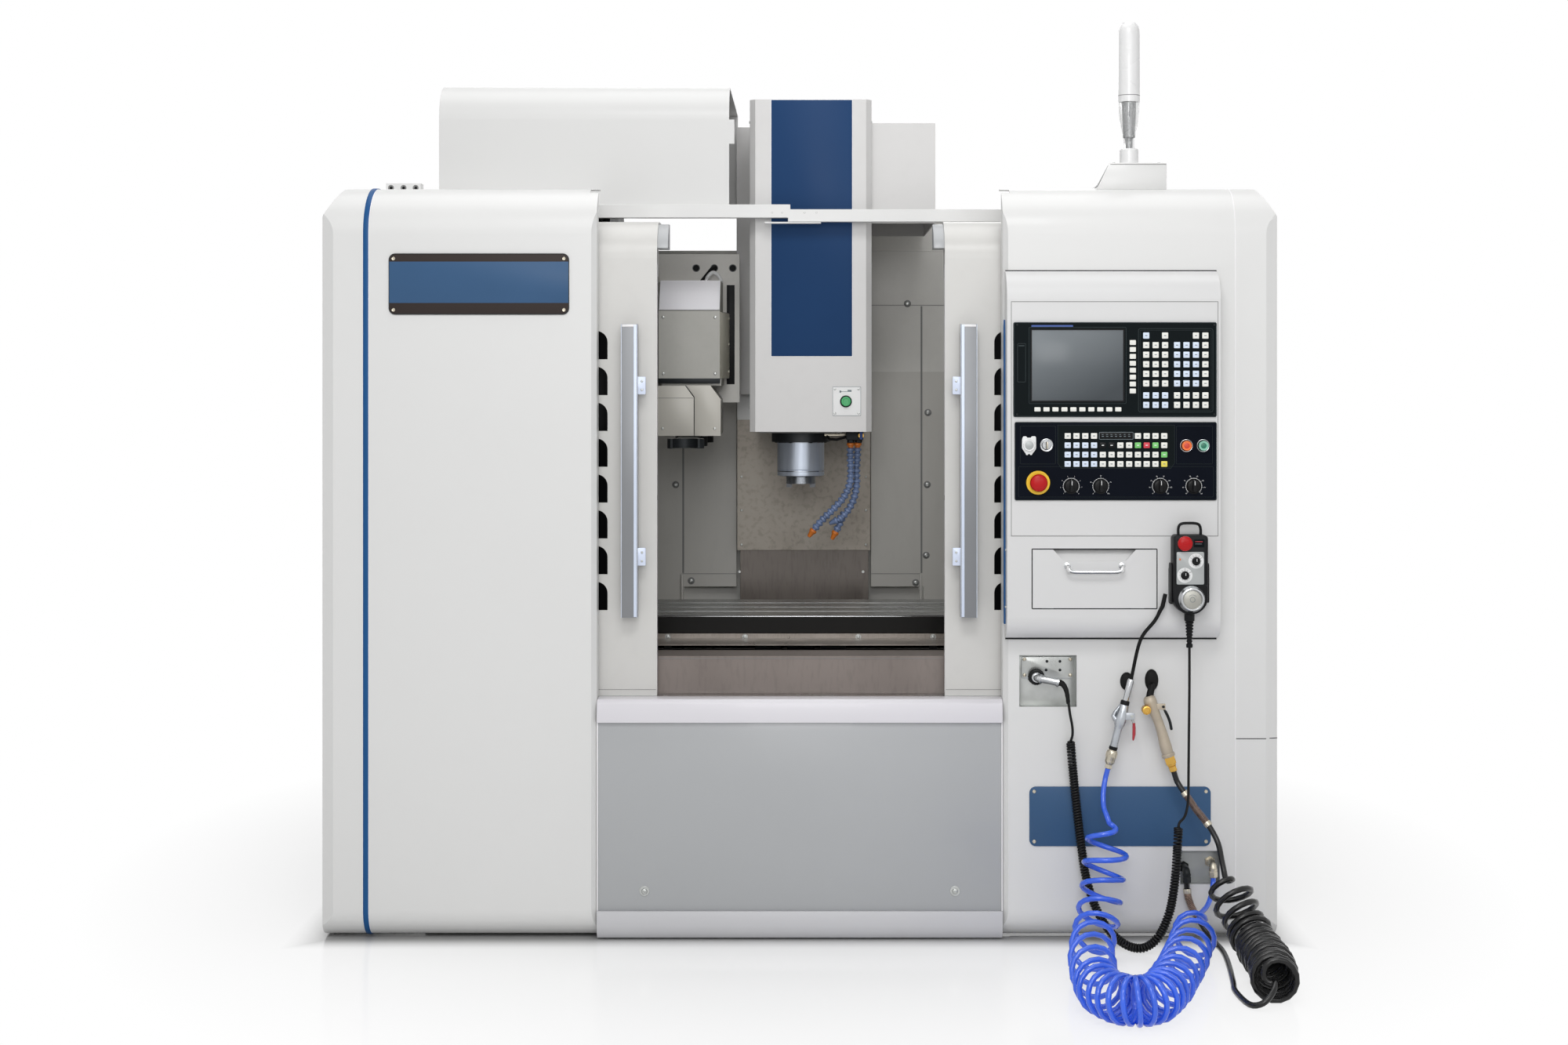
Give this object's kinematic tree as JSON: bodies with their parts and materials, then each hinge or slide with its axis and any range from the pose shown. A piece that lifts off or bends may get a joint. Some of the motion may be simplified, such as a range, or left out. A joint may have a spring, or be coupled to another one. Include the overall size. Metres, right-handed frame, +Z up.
{
  "type": "vertical machining center",
  "caption": "Vertical machining centre with sliding front doors, three-axis table and head, arm tool changer with disc magazine, operator panel, hand pendant and two hose guns.",
  "frame": {"origin": "on the floor, at the centre of the machine's footprint without its loose cords", "axes": "+Z up, +X to the operator's right, -Y towards the operator: the front of the machine faces -Y"},
  "size_m": [2.2, 2.9133, 2.134],
  "materials": {
    "enclosure_paint": "satin light grey enamel, fine orange peel",
    "door_paint": "satin warm grey enamel",
    "hood_paint": "satin light grey enamel",
    "beige_paint": "satin grey-beige enamel",
    "casting_paint": "matt grey casting paint",
    "head_paint": "satin grey casting paint",
    "guard_sheet": "grey paint, worn by chips and coolant",
    "cast_iron": "machined, fine milling marks",
    "ground_steel": "ground and oiled",
    "spindle_steel": "ground and polished",
    "stainless_sheet": "mottled stainless sheet",
    "blue_plate": "semi-gloss dark blue",
    "panel_black": "fine textured black bezel",
    "knob_black": "moulded black",
    "pendant_black": "moulded black, fine grain",
    "signal_red": "glossy red",
    "button_green": "glossy green",
    "button_amber": "glossy amber",
    "lever_red": "gloss red enamel",
    "wheel_metal": "turned and knurled",
    "gun_metal": "cast, lightly brushed",
    "gun_beige": "moulded beige-grey",
    "lamp_plastic": "clear and frosted lamp plastic",
    "nozzle_blue": "moulded blue-grey segments",
    "changer_black": "black oxide",
    "cable_black": "matt black sheath",
    "hose_blue": "translucent blue polyurethane",
    "hose_black": "glossy black polyurethane"
  },
  "bodies": {
    "frame": {"base_casting": "casting_paint", "guideways_and_motors": "ground_steel", "column_casting": "head_paint", "work_area_guards": "guard_sheet", "left_tower": "enclosure_paint", "right_tower": "enclosure_paint", "front_guard": "enclosure_paint", "door_beam": "enclosure_paint", "magazine_hood": "hood_paint", "tool_changer_gearbox": "beige_paint", "signal_lamp": "lamp_plastic", "panel_housing": "enclosure_paint", "screen_unit": "panel_black", "operation_panel": "panel_black", "name_plates": "blue_plate", "pendant": "pendant_black", "socket_panels": "stainless_sheet", "air_gun": "gun_metal", "coolant_gun": "gun_beige", "electrical_cabinet": "hood_paint", "coolant_tank": "hood_paint", "pendant_cable": "cable_black", "pendant_cable_curl": "cable_black", "air_hose": "hose_blue", "air_hose_spiral": "hose_blue", "coolant_hose": "hose_black", "coolant_hose_spiral": "hose_black"},
    "left_door": {"left_door": "door_paint"},
    "right_door": {"right_door": "door_paint"},
    "saddle": {"saddle_casting": "casting_paint"},
    "table": {"table": "cast_iron"},
    "x_screw": {"x_screw": "ground_steel"},
    "y_screw": {"y_screw": "ground_steel"},
    "z_screw": {"z_screw": "ground_steel"},
    "head": {"head_casting": "head_paint", "spindle_cartridge": "spindle_steel", "head_cover": "enclosure_paint", "coolant_nozzles": "nozzle_blue"},
    "spindle": {"spindle_shaft": "spindle_steel"},
    "tool_release": {"tool_release_button": "button_green"},
    "arm_quill": {"arm_quill": "ground_steel"},
    "exchange_arm": {"exchange_arm": "changer_black"},
    "magazine": {"magazine_disc": "changer_black"},
    "exchange_pot": {"exchange_pot": "changer_black"},
    "drawer": {"drawer": "enclosure_paint"},
    "cabinet_door": {"cabinet_door": "hood_paint"},
    "emergency_stop": {"emergency_stop": "signal_red"},
    "cycle_start": {"cycle_start_button": "button_green"},
    "feed_hold": {"feed_hold_button": "button_amber"},
    "key_switch": {"key_switch": "wheel_metal"},
    "selector_mode": {"selector_mode": "knob_black"},
    "selector_rapid": {"selector_rapid": "knob_black"},
    "selector_feed": {"selector_feed": "knob_black"},
    "selector_spindle": {"selector_spindle": "knob_black"},
    "pendant_stop": {"pendant_stop": "signal_red"},
    "pendant_axis_knob": {"pendant_axis_knob": "knob_black"},
    "pendant_step_knob": {"pendant_step_knob": "knob_black"},
    "handwheel": {"handwheel": "wheel_metal"},
    "air_gun_lever": {"air_gun_lever": "lever_red"},
    "coolant_gun_lever": {"coolant_gun_lever": "knob_black"}
  },
  "joints": [
    {"name": "left_door_slide", "type": "slide", "parent": "frame", "child": "left_door", "axis": [1, 0, 0], "range_m": [0, 0.331]},
    {"name": "right_door_slide", "type": "slide", "parent": "frame", "child": "right_door", "axis": [-1, 0, 0], "range_m": [0, 0.335]},
    {"name": "y_slide", "type": "slide", "parent": "frame", "child": "saddle", "axis": [0, 1, 0], "range_m": [-0.2, 0.2]},
    {"name": "x_slide", "type": "slide", "parent": "saddle", "child": "table", "axis": [1, 0, 0], "range_m": [-0.325, 0.325]},
    {"name": "z_slide", "type": "slide", "parent": "frame", "child": "head", "axis": [0, 0, 1], "range_m": [-0.165, 0.28]},
    {"name": "x_screw_spin", "type": "hinge", "parent": "saddle", "child": "x_screw", "pos_m": [0, -0.36, 0.615], "axis": [1, 0, 0], "continuous": true},
    {"name": "y_screw_spin", "type": "hinge", "parent": "frame", "child": "y_screw", "pos_m": [0, -0.36, 0.432], "axis": [0, 1, 0], "continuous": true},
    {"name": "z_screw_spin", "type": "hinge", "parent": "frame", "child": "z_screw", "pos_m": [0, 0.15, 1.4], "axis": [0, 0, 1], "continuous": true},
    {"name": "spindle_spin", "type": "hinge", "parent": "head", "child": "spindle", "pos_m": [0, -0.36, 1.04], "axis": [0, 0, 1], "continuous": true},
    {"name": "tool_release_press", "type": "slide", "parent": "head", "child": "tool_release", "axis": [0, 1, 0], "range_m": [0, 0.004], "stiffness_N_per_m": 800},
    {"name": "arm_drop", "type": "slide", "parent": "frame", "child": "arm_quill", "axis": [0, 0, 1], "range_m": [-0.115, 0]},
    {"name": "arm_swing", "type": "hinge", "parent": "arm_quill", "child": "exchange_arm", "pos_m": [-0.285, -0.3, 1.13], "axis": [0, 0, 1], "range_deg": [0, 50]},
    {"name": "magazine_spin", "type": "hinge", "parent": "frame", "child": "magazine", "pos_m": [-0.491, -0.24, 1.54], "axis": [1, 0, 0], "continuous": true},
    {"name": "pot_tip", "type": "hinge", "parent": "magazine", "child": "exchange_pot", "pos_m": [-0.491, -0.24, 1.27], "axis": [0, 1, 0], "range_deg": [-90, 0]},
    {"name": "drawer_slide", "type": "slide", "parent": "frame", "child": "drawer", "axis": [0, -1, 0], "range_m": [0, 0.1]},
    {"name": "cabinet_door_swing", "type": "hinge", "parent": "frame", "child": "cabinet_door", "pos_m": [0.508, 1.125, 0.87], "axis": [0, 0, -1], "range_deg": [0, 110]},
    {"name": "emergency_stop_press", "type": "slide", "parent": "frame", "child": "emergency_stop", "axis": [0, 1, 0], "range_m": [0, 0.005], "stiffness_N_per_m": 1500},
    {"name": "cycle_start_press", "type": "slide", "parent": "frame", "child": "cycle_start", "axis": [0, 1, 0], "range_m": [0, 0.003], "stiffness_N_per_m": 800},
    {"name": "feed_hold_press", "type": "slide", "parent": "frame", "child": "feed_hold", "axis": [0, 1, 0], "range_m": [0, 0.003], "stiffness_N_per_m": 800},
    {"name": "key_switch_turn", "type": "hinge", "parent": "frame", "child": "key_switch", "pos_m": [0.56, -1.074, 1.142], "axis": [0, 1, 0], "range_deg": [0, 90]},
    {"name": "selector_mode_turn", "type": "hinge", "parent": "frame", "child": "selector_mode", "pos_m": [0.616, -1.074, 1.049], "axis": [0, 1, 0], "range_deg": [-120, 120]},
    {"name": "selector_rapid_turn", "type": "hinge", "parent": "frame", "child": "selector_rapid", "pos_m": [0.683, -1.074, 1.049], "axis": [0, 1, 0], "range_deg": [-120, 120]},
    {"name": "selector_feed_turn", "type": "hinge", "parent": "frame", "child": "selector_feed", "pos_m": [0.818, -1.074, 1.049], "axis": [0, 1, 0], "range_deg": [-120, 120]},
    {"name": "selector_spindle_turn", "type": "hinge", "parent": "frame", "child": "selector_spindle", "pos_m": [0.894, -1.074, 1.049], "axis": [0, 1, 0], "range_deg": [-120, 120]},
    {"name": "pendant_stop_press", "type": "slide", "parent": "frame", "child": "pendant_stop", "axis": [0, 1, 0], "range_m": [0, 0.004], "stiffness_N_per_m": 800},
    {"name": "pendant_axis_turn", "type": "hinge", "parent": "frame", "child": "pendant_axis_knob", "pos_m": [0.891, -1.122, 0.883], "axis": [0, 1, 0], "range_deg": [-70, 70]},
    {"name": "pendant_step_turn", "type": "hinge", "parent": "frame", "child": "pendant_step_knob", "pos_m": [0.866, -1.122, 0.851], "axis": [0, 1, 0], "range_deg": [-70, 70]},
    {"name": "handwheel_turn", "type": "hinge", "parent": "frame", "child": "handwheel", "pos_m": [0.88, -1.13, 0.798], "axis": [0, 1, 0], "continuous": true},
    {"name": "air_gun_trigger", "type": "hinge", "parent": "frame", "child": "air_gun_lever", "pos_m": [0.757, -1.045, 0.524], "axis": [0, 1, 0], "range_deg": [0, 12], "stiffness_Nm_per_rad": 1, "springref_deg": -5.73},
    {"name": "coolant_gun_trigger", "type": "hinge", "parent": "frame", "child": "coolant_gun_lever", "pos_m": [0.828, -1.045, 0.546], "axis": [0, 1, 0], "range_deg": [0, 8], "stiffness_Nm_per_rad": 1, "springref_deg": -5.73}
  ],
  "couplings": [
    {"joint": "x_screw_spin", "follows": "x_slide", "rad_per_m": 628.32},
    {"joint": "y_screw_spin", "follows": "y_slide", "rad_per_m": 628.32},
    {"joint": "z_screw_spin", "follows": "z_slide", "rad_per_m": 628.32}
  ]
}
